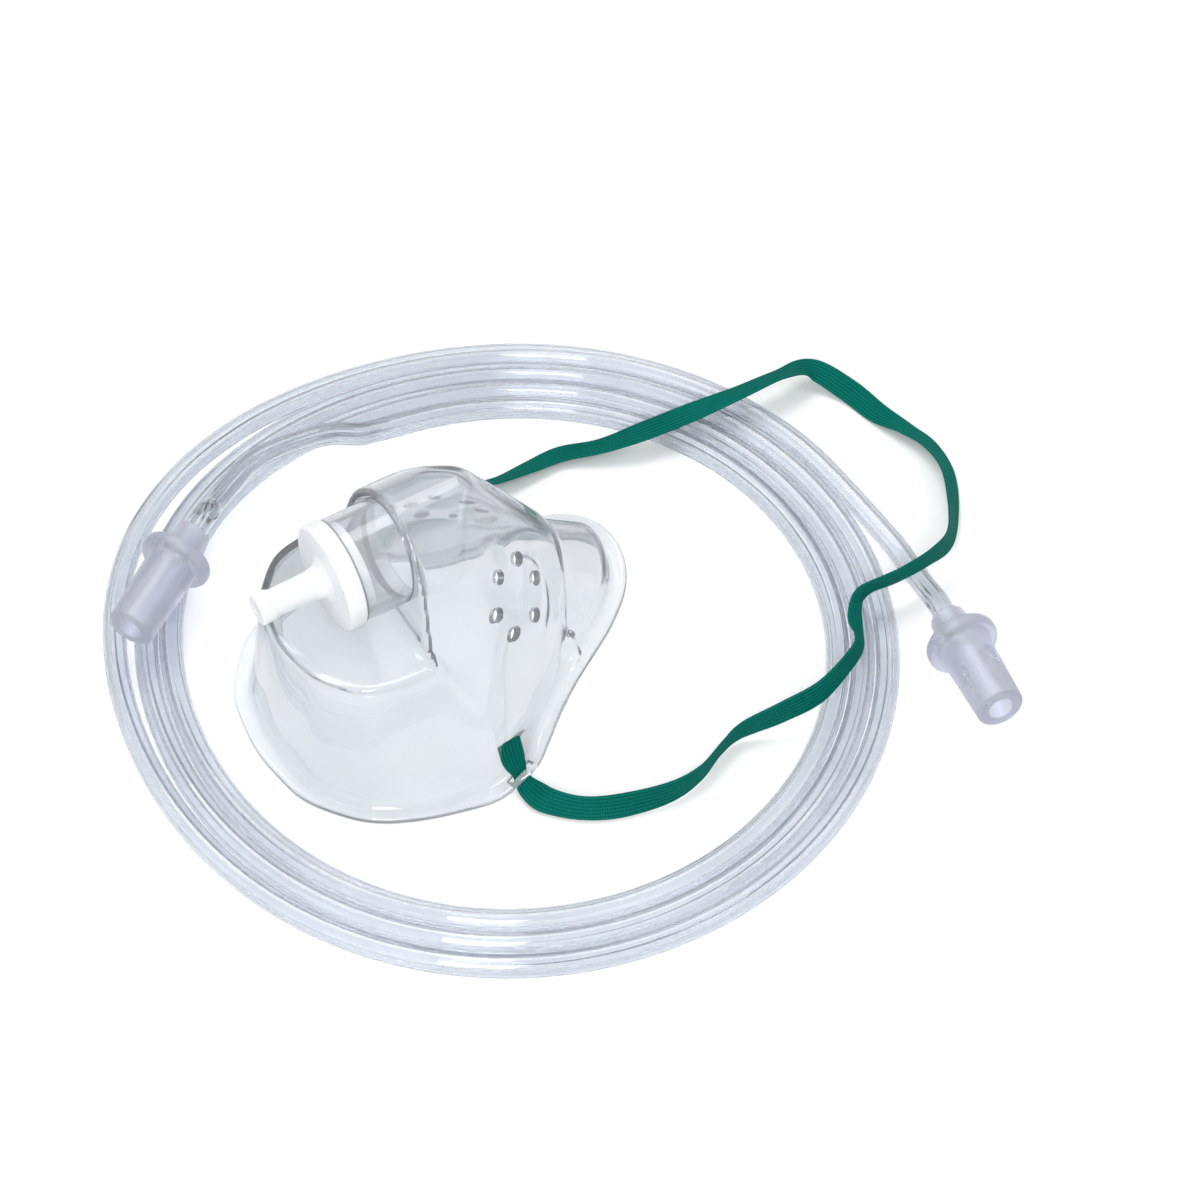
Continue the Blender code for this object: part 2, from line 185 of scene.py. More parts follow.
# Tubing
TUBE_RADIUS = 3.2
TUBE_SIDES = 24
LUMEN_RADIUS = 1.75
LUMEN_POINTS = 5
LUMEN_WAVE = 0.35
LUMEN_STEPS = 6                 # points of the mesh for each point of the star
LUMEN_TWIST = 1.3               # turns along the whole tube
RING_SPACING = 2.4
COIL_CENTRE = (20.5, -6.0)
COIL_START = 117.0              # where the tube comes down from the left connector, degrees
COIL_SETTLED = 31.0             # how far round it is when it lies on the surface
COIL_TURN_LENGTH = 1189.0       # how far round the coil goes before the tube leaves it, degrees
COIL_RADIUS = 82.7
COIL_PITCH = 6.6
COIL_STEP = 12.0                # degrees between the points of its route
COIL_LIFT = 3.45                # height of the tube's centre where it lies on the surface
LOOSE_AT = 123.0                # where the turns lie loosest, degrees
LOOSE_SPREAD = 35.0
LOOSE = 6.0                     # how much wider every turn is there
LOOSE_OUTSIDE = 3.0             # how much wider again from the third turn on
# Down off the coil's own turns: degrees, radius and height
COIL_DROP = [(103, 89.8, 10.6), (96.5, 86.6, 9.8), (91, 84.2, 6.6)]

# Push connectors
CONNECTOR_LENGTH = 35.0
NECK_LENGTH = 10.0
NECK_RADIUS = 4.7
NECK_FIT = 0.08                 # how much wider the neck's bore is than the tube
TUBE_STOP = 1.5                 # how far short of the neck's floor the tube ends
GRIP_RADIUS = 9.9               # of the round flange that a finger pushes against
GRIP_HALF = 1.7
NOZZLE_ROOT = 7.1
NOZZLE_TIP = 6.4
NOZZLE_BORE = 3.3

# Routes
STRAP_TAIL = [(-0.36, 37.8, 12.4), (-0.3, 39.0, 9.3), (-0.2, 40.8, 6.1), (0, 42.2, 5.0), (0.2, 42.9, 3.0),
              (0.4, 44.3, 1.7), (0.8, 48.0, 2.0)]   # out of a slot, folded up over the shell
STRAP_ROUTE = [(2, -53.4, 4.2), (8, -60.2, 4.2), (17, -64.7, 4.2), (30, -67.9, 4.2),
               (40, -67, 4.2), (49, -63, 4.2), (56, -61.2, 4.6), (67, -63.6, 8), (78, -65, 11.2),
               (90, -60.6, 11.3), (95.4, -57, 11.3), (98.4, -50.8, 11.3), (102.8, -44.9, 11.3),
               (108, -43, 11.3), (117.3, -43.5, 11.3), (127.6, -43, 11.9), (137.6, -38.2, 9),
               (148, -25, 4.6), (153.6, -14, 4.2), (154.8, -3.6, 4.2), (152.6, 4.8, 4.2),
               (149.7, 14.3, 4.2), (146.7, 25, 4.6), (140.4, 34.6, 8.4), (130, 34.6, 11),
               (116.5, 35.1, 11.3), (101, 36.6, 11.3), (86, 38.2, 10.4), (75, 42, 6.4),
               (65.2, 46.6, 4.6), (55.4, 46.8, 4.2), (45, 46.6, 4.2), (36, 49, 4.2), (24, 51, 4.2),
               (12, 51, 4.2)]
# Lean of the tape from standing on its edge, in degrees, at each point of the route
STRAP_LEAN = [-40, -25, -30, -15, 0, 8, 0, -15, -20, -12, -15, -45, -22, 12, 5, 0, -15, -32, -43,
              -58, -66, -95, -108, -100, -60, -70, -88, -88, -75, -78, -67, -50, -50, -45, -60]
LEAD_RIGHT_ROUTE = [(125.9, -24.6, 3.2), (125.2, -38.0, 3.5), (123.8, -47.5, 5.6)]
LEAD_LEFT_ROUTE = [(-12, 81.5, 10.6), (-22, 76.4, 11.6), (-31, 69.4, 15.2)]
RIGHT_NECK = (121.0, -60.6, 9.2)
RIGHT_DIRECTION = (-0.19, -0.976, 0.1)
LEFT_NECK = (-40.0, 61.0, 18.8)
LEFT_DIRECTION = (-0.83, -0.555, -0.04)

PVC_IOR = 1.46
SHARP = 35                      # degrees between faces whose edge is sharp
SHARP_CUT = 38
SHARP_EXTRUDED = 60


# ---- helpers -------------------------------------------------------------------------------------

def soft_min(radius, *heights):
    low = np.minimum.reduce(heights)
    return low - radius * np.log(sum(np.exp(-(h - low) / radius) for h in heights))


def soft_max(radius, *heights):
    return -soft_min(radius, *[-h for h in heights])


def spline(points, spacing):
    """Points about one spacing apart along a smooth curve through the given ones."""
    pts = [Vector(p) for p in points]
    pts = [2 * pts[0] - pts[1]] + pts + [2 * pts[-1] - pts[-2]]
    out = []
    for a, b, c, d in zip(pts, pts[1:], pts[2:], pts[3:]):
        steps = max(1, round((c - b).length / spacing))
        for i in range(steps):
            t = i / steps
            out.append(0.5 * (2 * b + (c - a) * t + (2 * a - 5 * b + 4 * c - d) * t * t
                              + (3 * b - a - 3 * c + d) * t ** 3))
    return np.array(out + [pts[-2]])


def resample(points, spacing):
    """The same line with points one even spacing apart."""
    run = np.concatenate([[0], np.cumsum(np.linalg.norm(np.diff(points, axis=0), axis=1))])
    even = np.linspace(0, run[-1], max(2, round(run[-1] / spacing)) + 1)
    return np.stack([np.interp(even, run, points[:, k]) for k in range(points.shape[1])], axis=1)


def smoothed(values, reach, closed=False):
    """A line of values with its kinks rounded over about reach samples."""
    window = np.hanning(2 * reach + 3)[1:-1]
    window /= window.sum()
    mode = "wrap" if closed else "edge"
    padded = np.pad(values, [(reach, reach)] + [(0, 0)] * (values.ndim - 1), mode=mode)
    if values.ndim == 1:
        return np.convolve(padded, window, "valid")
    columns = [np.convolve(padded[:, k], window, "valid") for k in range(values.shape[1])]
    return np.stack(columns, axis=1)


def mesh_piece(name, points, faces, mat, sharp=SHARP):
    mesh = bpy.data.meshes.new(name)
    mesh.from_pydata((np.asarray(points) * MM).tolist(), [], faces)
    bm = bmesh.new()
    bm.from_mesh(mesh)
    bmesh.ops.recalc_face_normals(bm, faces=bm.faces)
    bm.to_mesh(mesh)
    bm.free()
    mesh.shade_smooth()
    mesh.set_sharp_from_angle(angle=math.radians(sharp))
    obj = bpy.data.objects.new(name, mesh)
    bpy.context.scene.collection.objects.link(obj)
    if mat:
        mesh.materials.append(mat)
    return obj


def ring_faces(rings, count, closed_rings=False, start=0):
    """Quads between neighbouring rings of count points each."""
    faces = []
    for r in range(rings if closed_rings else rings - 1):
        n = (r + 1) % rings
        for i in range(count):
            j = (i + 1) % count
            faces.append([start + r * count + i, start + r * count + j,
                          start + n * count + j, start + n * count + i])
    return faces


def axis_frame(start, direction):
    turn = Vector(direction).normalized().to_track_quat("X", "Z").to_matrix().to_4x4()
    return Matrix.Translation(Vector(start)) @ turn


def turned(name, profile, segments, frame, mat):
    """A closed profile of (distance along, radius), turned about the frame's X axis."""
    points = []
    for i in range(segments):
        angle = 2 * math.pi * i / segments
        for along, radius in profile:
            points.append(frame @ Vector((along, radius * math.cos(angle), radius * math.sin(angle))))
    faces = ring_faces(segments, len(profile), closed_rings=True)
    return mesh_piece(name, points, faces, mat)


def rounded(corners, steps=5):
    """A closed profile whose corners (along, radius, fillet) are rounded."""
    out = []
    count = len(corners)
    for k in range(count):
        here = Vector(corners[k][:2])
        fillet = corners[k][2]
        to_last = Vector(corners[k - 1][:2]) - here
        to_next = Vector(corners[(k + 1) % count][:2]) - here
        reach = min(fillet, 0.45 * to_last.length, 0.45 * to_next.length)
        if reach < 0.02:
            out.append(tuple(here))
            continue
        a = here + to_last.normalized() * reach
        b = here + to_next.normalized() * reach
        for i in range(steps + 1):
            t = i / steps
            out.append(tuple((1 - t) ** 2 * a + 2 * t * (1 - t) * here + t * t * b))
    return out


def cylinder_data(start, axis, length, radius, segments):
    frame = axis_frame(start, axis)
    points = []
    for along in (0, length):
        for i in range(segments):
            a = 2 * math.pi * i / segments
            points.append(frame @ Vector((along, radius * math.cos(a), radius * math.sin(a))))
    faces = [list(range(segments))[::-1], list(range(segments, 2 * segments))]
    for i in range(segments):
        j = (i + 1) % segments
        faces.append([i, j, segments + j, segments + i])
    return points, faces


def joined(parts):
    points = []
    faces = []
    for pts, fcs in parts:
        faces += [[v + len(points) for v in f] for f in fcs]
        points += list(pts)
    return points, faces


def cut(obj, steps):
    """Applies each step to obj: a name, the points and faces of a closed tool, and what it does."""
    tools = []
    for name, (points, faces), operation in steps:
        tool = mesh_piece(name, points, faces, None)
        tools.append(tool)
        mod = obj.modifiers.new(tool.name, "BOOLEAN")
        mod.object = tool
        mod.operation = operation
        mod.solver = "MANIFOLD"
    graph = bpy.context.evaluated_depsgraph_get()
    mesh = bpy.data.meshes.new_from_object(obj.evaluated_get(graph))
    obj.modifiers.clear()
    obj.data = mesh
    for tool in tools:
        bpy.data.objects.remove(tool)
    mesh.shade_smooth()
    mesh.set_sharp_from_angle(angle=math.radians(SHARP_CUT))


# ---- materials -----------------------------------------------------------------------------------

def new_material(name):
    mat = bpy.data.materials.new(name)
    mat.use_nodes = True
    return mat, mat.node_tree, mat.node_tree.nodes["Principled BSDF"]


def noise(tree, scale, detail):
    node = tree.nodes.new("ShaderNodeTexNoise")
    node.inputs["Scale"].default_value = scale
    node.inputs["Detail"].default_value = detail
    place = tree.nodes.new("ShaderNodeTexCoord").outputs["Object"]
    tree.links.new(place, node.inputs["Vector"])
    return node.outputs["Fac"]


def ranged(tree, value, low, high, to_low, to_high):
    node = tree.nodes.new("ShaderNodeMapRange")
    for name, number in (("From Min", low), ("From Max", high), ("To Min", to_low), ("To Max", to_high)):
        node.inputs[name].default_value = number
    tree.links.new(value, node.inputs["Value"])
    return node.outputs["Result"]


def ramp(tree, value, stops):
    node = tree.nodes.new("ShaderNodeValToRGB")
    node.color_ramp.elements[0].position = stops[0][0]
    node.color_ramp.elements[0].color = (*stops[0][1], 1)
    node.color_ramp.elements[1].position = stops[-1][0]
    node.color_ramp.elements[1].color = (*stops[-1][1], 1)
    for at, colour in stops[1:-1]:
        element = node.color_ramp.elements.new(at)
        element.color = (*colour, 1)
    tree.links.new(value, node.inputs["Fac"])
    return node.outputs["Color"]


def bump(tree, shader, height, strength, distance):
    node = tree.nodes.new("ShaderNodeBump")
    node.inputs["Strength"].default_value = strength
    node.inputs["Distance"].default_value = distance
    tree.links.new(height, node.inputs["Height"])
    tree.links.new(node.outputs["Normal"], shader.inputs["Normal"])


def clear_plastic(name, dark, light, rough, wave_scale, wave_height, shade, clear, body):
    """Soft clear PVC: glass with a faint tint and slow surface waves, which lets lamps through.

    clear is how much light goes through rather than being scattered, and body is the colour and
    density that darken thick places.
    """
    mat, tree, shader = new_material(name)
    tint = noise(tree, 22, 2.0)
    tree.links.new(ramp(tree, tint, [(0.3, dark), (0.7, light)]), shader.inputs["Base Color"])
    tree.links.new(ranged(tree, noise(tree, 90, 4.0), 0.3, 0.7, *rough), shader.inputs["Roughness"])
    shader.inputs["IOR"].default_value = PVC_IOR
    shader.inputs["Transmission Weight"].default_value = clear
    bump(tree, shader, noise(tree, wave_scale, 2.0), 1.0, wave_height)
    absorption = tree.nodes.new("ShaderNodeVolumeAbsorption")
    absorption.inputs["Color"].default_value = (*body[0], 1)
    absorption.inputs["Density"].default_value = body[1]
    tree.links.new(absorption.outputs[0], tree.nodes["Material Output"].inputs["Volume"])
    through = tree.nodes.new("ShaderNodeBsdfTransparent")
    through.inputs["Color"].default_value = (*shade, 1)
    path = tree.nodes.new("ShaderNodeLightPath")
    mix = tree.nodes.new("ShaderNodeMixShader")
    tree.links.new(path.outputs["Is Shadow Ray"], mix.inputs[0])
    tree.links.new(shader.outputs[0], mix.inputs[1])
    tree.links.new(through.outputs[0], mix.inputs[2])
    tree.links.new(mix.outputs[0], tree.nodes["Material Output"].inputs["Surface"])
    return mat


def white_plastic():
    mat, tree, shader = new_material("white_plastic")
    colour = ramp(tree, noise(tree, 60, 3.0), [(0.3, (0.79, 0.81, 0.83)), (0.7, (0.84, 0.855, 0.865))])
    tree.links.new(colour, shader.inputs["Base Color"])
    tree.links.new(ranged(tree, noise(tree, 400, 5.0), 0.3, 0.7, 0.27, 0.4), shader.inputs["Roughness"])
    shader.inputs["Subsurface Weight"].default_value = 0.25
    shader.inputs["Subsurface Radius"].default_value = (1.0, 1.0, 1.0)
    shader.inputs["Subsurface Scale"].default_value = 0.002
    bump(tree, shader, noise(tree, 900, 3.0), 0.25, 0.0001)
    return mat


def woven_elastic():
    """Braided elastic tape: fine cross threads between the lengthwise ribs, which are in the mesh."""
    mat, tree, shader = new_material("green_elastic")
    uv = tree.nodes.new("ShaderNodeTexCoord").outputs["UV"]
    threads = tree.nodes.new("ShaderNodeTexWave")
    threads.wave_type = "BANDS"
    threads.bands_direction = "X"
    threads.inputs["Scale"].default_value = 0.5
    threads.inputs["Distortion"].default_value = 0.6
    threads.inputs["Detail"].default_value = 1.0
    tree.links.new(uv, threads.inputs["Vector"])
    ribs = tree.nodes.new("ShaderNodeTexWave")
    ribs.wave_type = "BANDS"
    ribs.bands_direction = "Y"
    ribs.inputs["Scale"].default_value = 0.31 * STRAP_RIBS / STRAP_WIDTH
    ribs.inputs["Distortion"].default_value = 0.3
    tree.links.new(uv, ribs.inputs["Vector"])
    weave = tree.nodes.new("ShaderNodeMath")
    weave.operation = "MULTIPLY_ADD"
    tree.links.new(threads.outputs["Fac"], weave.inputs[0])
    weave.inputs[1].default_value = 0.5
    tree.links.new(ribs.outputs["Fac"], weave.inputs[2])
    patches = noise(tree, 55, 3.0)
    blend = tree.nodes.new("ShaderNodeMath")
    blend.operation = "MULTIPLY_ADD"
    tree.links.new(patches, blend.inputs[0])
    blend.inputs[1].default_value = 0.5
    tree.links.new(ranged(tree, weave.outputs[0], 0, 1.5, 0, 0.6), blend.inputs[2])
    colour = ramp(tree, blend.outputs[0], [(0.1, (0.0, 0.07, 0.05)), (0.5, (0.0, 0.125, 0.098)),
                                           (1.0, (0.0, 0.18, 0.145))])
    tree.links.new(colour, shader.inputs["Base Color"])
    tree.links.new(ranged(tree, weave.outputs[0], 0, 1.5, 0.75, 0.5), shader.inputs["Roughness"])
    shader.inputs["Specular IOR Level"].default_value = 0.06
    bump(tree, shader, weave.outputs[0], 0.7, 0.00025)
    return mat


def floor_material():
    mat, tree, shader = new_material("floor")
    colour = ramp(tree, noise(tree, 3, 2.0), [(0.3, (0.93, 0.935, 0.94)), (0.7, (0.95, 0.95, 0.95))])
    tree.links.new(colour, shader.inputs["Base Color"])
    shader.inputs["Roughness"].default_value = 0.7
    return mat


# ---- camera, floor and light ---------------------------------------------------------------------

def add_camera():
    data = bpy.data.cameras.new("camera")
    data.lens = LENS
    data.sensor_width = SENSOR
    data.clip_start = 0.01
    camera = bpy.data.objects.new("camera", data)
    a, e = VIEW_AZIMUTH, VIEW_ELEVATION
    back = Vector((math.sin(a) * math.cos(e), -math.cos(a) * math.cos(e), math.sin(e)))
    camera.location = (Vector(VIEW_TARGET) + VIEW_DISTANCE * back) * MM
    camera.rotation_euler = back.to_track_quat("Z", "Y").to_euler()
    bpy.context.scene.collection.objects.link(camera)
    bpy.context.scene.camera = camera


def add_floor():
    corners = [(x * FLOOR_HALF, y * FLOOR_HALF, 0) for x, y in ((-1, -1), (1, -1), (1, 1), (-1, 1))]
    floor = mesh_piece("floor", corners, [[0, 1, 2, 3]], floor_material())


def add_lamp(name, spot, size, power):
    data = bpy.data.lights.new(name, "AREA")
    data.shape = "RECTANGLE"
    data.size, data.size_y = (side * MM for side in size)
    data.energy = power
    lamp = bpy.data.objects.new(name, data)
    lamp.location = Vector(spot) * MM
    aim = Vector(spot) - Vector(LAMP_TARGET)
    lamp.rotation_euler = aim.to_track_quat("Z", "Y").to_euler()
    bpy.context.scene.collection.objects.link(lamp)


def add_light():
    """White sky that darkens towards the horizon, and softboxes beside and above."""
    world = bpy.data.worlds.new("studio")
    bpy.context.scene.world = world
    world.use_nodes = True
    tree = world.node_tree
    direction = tree.nodes.new("ShaderNodeTexCoord").outputs["Generated"]
    split = tree.nodes.new("ShaderNodeSeparateXYZ")
    tree.links.new(direction, split.inputs[0])
    sky = ramp(tree, split.outputs["Z"], [(0.0, (0.08, 0.09, 0.11)), (0.12, (0.50, 0.52, 0.54)),
                                          (0.35, (0.95, 0.96, 0.97)), (1.0, (1.0, 1.0, 1.0))])
    background = tree.nodes["Background"]
    tree.links.new(sky, background.inputs["Color"])
    background.inputs["Strength"].default_value = SKY_STRENGTH
    for lamp in LAMPS:
        add_lamp(*lamp)


def set_view():
    scene = bpy.context.scene
    scene.view_settings.view_transform = "Standard"
    scene.cycles.transparent_max_bounces = BOUNCES
    scene.cycles.transmission_bounces = BOUNCES
    scene.cycles.max_bounces = BOUNCES


# ---- tubing --------------------------------------------------------------------------------------

def round_centre(degrees, radius, height):
    a = math.radians(degrees)
    return (COIL_CENTRE[0] + radius * math.cos(a), COIL_CENTRE[1] + radius * math.sin(a), height)


def coil_point(turned_by):
    """Where the tube's centre is when it has gone this many degrees round, clockwise from above."""
    angle = COIL_START - turned_by
    away = (angle - LOOSE_AT + 180) % 360 - 180
    loose = math.exp(-(away / LOOSE_SPREAD) ** 2)
    turn = turned_by / 360
    radius = COIL_RADIUS + COIL_PITCH * turn + LOOSE * loose
    if turn > 2:
        radius += LOOSE_OUTSIDE * loose * min(1, 3 * (turn - 2))
    return round_centre(angle, radius, COIL_LIFT)


def coil_route():
    """Down off the coil's own turns, then round and round outwards."""
    points = [round_centre(*spot) for spot in COIL_DROP]
    length = COIL_TURN_LENGTH - COIL_SETTLED
    steps = round(length / COIL_STEP)
    return points + [coil_point(COIL_SETTLED + length * k / steps) for k in range(steps + 1)]


def tube_route():
    """The whole tube, from inside the left connector's neck to inside the right one's."""
    inside = NECK_LENGTH - TUBE_STOP
    left, right = Vector(LEFT_NECK), Vector(RIGHT_NECK)
    left_way, right_way = Vector(LEFT_DIRECTION).normalized(), Vector(RIGHT_DIRECTION).normalized()
    route = [left + inside * left_way, left, left - 2 * TUBE_RADIUS * left_way]
    route += LEAD_LEFT_ROUTE[::-1] + coil_route() + LEAD_RIGHT_ROUTE
    route += [right - 2 * TUBE_RADIUS * right_way, right, right + inside * right_way]
    return resample(spline(route, 1.0), RING_SPACING)


def section_frames(path):
    """Side and up directions at each point of a path, never rolling over."""
    ahead = np.gradient(path, axis=0)
    ahead /= np.linalg.norm(ahead, axis=1)[:, None]
    side = np.cross(ahead, [0, 0, 1.0])
    side /= np.linalg.norm(side, axis=1)[:, None]
    return side, np.cross(side, ahead)


def make_tube(mat):
    """One hollow tube with a star-shaped lumen, closed at its ends by rings."""
    path = tube_route()
    side, up = section_frames(path)
    rings = len(path)
    lumen_sides = LUMEN_STEPS * LUMEN_POINTS
    outer_angle = 2 * np.pi * np.arange(TUBE_SIDES) / TUBE_SIDES
    lumen_angle = 2 * np.pi * np.arange(lumen_sides) / lumen_sides
    lumen = LUMEN_RADIUS + LUMEN_WAVE * np.cos(LUMEN_POINTS * lumen_angle)
    twist = 2 * np.pi * np.arange(rings) / rings * LUMEN_TWIST
    points = []
    for p, a, b in zip(path, side, up):
        circle = np.outer(np.cos(outer_angle), a) + np.outer(np.sin(outer_angle), b)
        points.append(p + TUBE_RADIUS * circle)
    for p, a, b, t in zip(path, side, up, twist):
        across = lumen * np.cos(lumen_angle + t)
        along = lumen * np.sin(lumen_angle + t)
        points.append(p + np.outer(across, a) + np.outer(along, b))
    first_lumen = rings * TUBE_SIDES
    faces = ring_faces(rings, TUBE_SIDES)
    faces += [f[::-1] for f in ring_faces(rings, lumen_sides, start=first_lumen)]
    for ring, flip in ((0, False), (rings - 1, True)):
        faces += end_ring(ring * TUBE_SIDES, TUBE_SIDES, first_lumen + ring * lumen_sides, lumen_sides, flip)
    tube = mesh_piece("oxygen_tube", np.vstack(points), faces, mat, SHARP_EXTRUDED)
    return tube, path


def end_ring(outer, outer_count, inner, inner_count, flip):
    """Triangles between two rings with different numbers of points."""
    faces = []
    i = 0
    k = 0
    while i < outer_count or k < inner_count:
        if k * outer_count >= i * inner_count and i < outer_count:
            tri = [outer + i, outer + (i + 1) % outer_count, inner + k % inner_count]
            i += 1
        else:
            tri = [outer + i % outer_count, inner + (k + 1) % inner_count, inner + k]
            k += 1
        faces.append(tri[::-1] if flip else tri)
    return faces


def tube_connector(name, neck, direction, mat):
    """Soft push-on connector: a neck round the tube, a finger flange and a tapered nozzle."""
    end = CONNECTOR_LENGTH
    flange = NECK_LENGTH
    bore = TUBE_RADIUS + NECK_FIT
    profile = rounded([(0.3, bore, 0.2), (0.3, NECK_RADIUS, 0.5), (flange - 2.2, 5.9, 1.2),
                       (flange - GRIP_HALF, GRIP_RADIUS, GRIP_HALF),
                       (flange + GRIP_HALF, GRIP_RADIUS, GRIP_HALF), (flange + 2.3, NOZZLE_ROOT, 1.4),
                       (end - 0.4, NOZZLE_TIP, 0.8), (end, 5.6, 0.6), (end, NOZZLE_BORE, 0.5),
                       (flange + 4, 3.0, 0.6), (flange + 1, 2.3, 0.6), (flange, 2.2, 0.2),
                       (flange, bore, 0.1)])
    return turned(name, profile, 72, axis_frame(neck, direction), mat)


# ---- head strap ----------------------------------------------------------------------------------

def strap_path():
    """The tape's middle line, lowered where the tape leans over, its lean, and its share of full width."""
    rows = [(x, -y, z) for x, y, z in STRAP_TAIL]
    for point, lean in zip(STRAP_ROUTE, STRAP_LEAN):
        drop = (1 - abs(math.cos(math.radians(lean)))) * STRAP_WIDTH / 2
        rows.append((point[0], point[1], point[2] - drop))
    rows += STRAP_TAIL[::-1]
    flat = [-90] * len(STRAP_TAIL)
    path = spline(rows, 1.0)
    counts = [max(1, round((Vector(b) - Vector(a)).length)) for a, b in zip(rows, rows[1:])]
    stations = np.concatenate([[0], np.cumsum(counts)])
    lean = np.interp(np.arange(len(path)), stations, flat + STRAP_LEAN + flat)
    from_end = np.minimum(np.arange(len(path)), np.arange(len(path))[::-1])
    squeeze = 1 - STRAP_SQUEEZE * np.exp(-((from_end - stations[SLOT_POINT]) / SQUEEZE_SPREAD) ** 2)
    return path, np.radians(smoothed(lean, LEAN_REACH)), squeeze


def make_strap(mat):
    path, lean, squeeze = strap_path()
    side, up = section_frames(path)
    half = STRAP_WIDTH / 2
    across = np.linspace(-half, half, RIB_STEPS * STRAP_RIBS + 1)
    ribs = RIB_DEPTH * np.abs(np.cos(np.pi * STRAP_RIBS * (across + half) / STRAP_WIDTH))
    edge = np.sqrt(np.clip(1 - (across / half) ** 8, 0.05, 1))
    thick = edge * (STRAP_THICKNESS / 2 - ribs)
    ring = np.concatenate([np.stack([across, thick], 1), np.stack([across, -thick], 1)[::-1]])
    count = len(ring)
    points = []
    for p, s, u, a, share in zip(path, side, up, lean, squeeze):
        wide = share * (math.cos(a) * u + math.sin(a) * s)
        deep = -math.sin(a) * u + math.cos(a) * s
        points.append(p + np.outer(ring[:, 0], wide) + np.outer(ring[:, 1], deep))
    faces = ring_faces(len(path), count)
    last = (len(path) - 1) * count
    faces += [list(range(count))[::-1], [last + i for i in range(count)]]
    strap = mesh_piece("elastic_strap", np.vstack(points), faces, mat, SHARP_EXTRUDED)
    layer = strap.data.uv_layers.new(name="UVMap")
    for loop in strap.data.loops:
        station, spot = divmod(loop.vertex_index, count)
        layer.data[loop.index].uv = (station, ring[spot, 0] + half)
    return strap, path


# ---- mask shell ----------------------------------------------------------------------------------

def rim_outline(spacing):
    """The closed rim as a fair curve, near half from chin to nose, then the far half back."""
    first = (RIM[1][0], -RIM[1][1], 0)
    last = (RIM[-2][0], -RIM[-2][1], 0)
    half = spline([first] + [(s, w, 0) for s, w in RIM] + [last], 0.5)[:, :2]
    middle = half[half[:, 1] >= 0]
    loop = np.vstack([middle * [1, -1], middle[-2:0:-1]])
    loop = resample(np.vstack([loop, loop[:1]]), 0.5)[:-1]
    loop = smoothed(loop, 8, closed=True)
    chin = int(np.argmin(loop[:, 0]))
    loop = np.roll(loop, -chin, axis=0)
    nose = int(np.argmax(loop[:, 0]))
    near = resample(loop[:nose + 1], spacing)
    near[0, 1] = near[-1, 1] = 0
    return near, np.vstack([near, near[-2:0:-1] * [1, -1]])


def distance_to(outline, points):
    """Distance of each point from the closed outline."""
    edge = np.roll(outline, -1, axis=0) - outline
    square = (edge ** 2).sum(-1)
    out = []
    for block in np.array_split(points, max(1, len(points) // 3000)):
        offset = block[:, None, :] - outline
        t = np.clip((offset * edge).sum(-1) / square, 0, 1)
        out.append(np.sqrt(((offset - edge * t[..., None]) ** 2).sum(-1)).min(-1))
    return np.concatenate(out)


def inset_at(s):
    """Distance from the rim to the shelf's edge, as a smooth line."""
    stations = np.arange(-20, LENGTH + 22, 0.2)
    return np.interp(s, stations, smoothed(np.interp(stations, *zip(*SHELF_INSET)), 28))


def rim_height(s):
    nose = NOSE_BLEND * NOSE_RISE * np.log1p(np.exp((s - NOSE_RISE_START) / NOSE_BLEND))
    return nose + TAB_LIFT * np.exp(-((s - TAB_AT) / TAB_SPREAD) ** 2)


def pad_height(s, side):
    """A cheek pad's plane, with a low round disc whose edge shows on the nose side of the vents."""
    plane = PAD[2] - (PAD_NORMAL[0] * (s - PAD[0]) + PAD_NORMAL[1] * (side - PAD[1])) / PAD_NORMAL[2]
    offset = np.stack([s - PAD[0], side - PAD[1], plane - PAD[2]], axis=-1)
    across = np.cross(VENT_TOP, PAD_NORMAL)
    noseward = -(offset @ across)
    edge = (np.linalg.norm(offset, axis=-1) - DISC_RADIUS) / DISC_EDGE
    disc = 1 / (1 + np.exp(np.clip(edge, -30, 30))) / (1 + np.exp(np.clip(-noseward / 2, -30, 30)))
    return plane + DISC_RISE * disc / PAD_NORMAL[2]


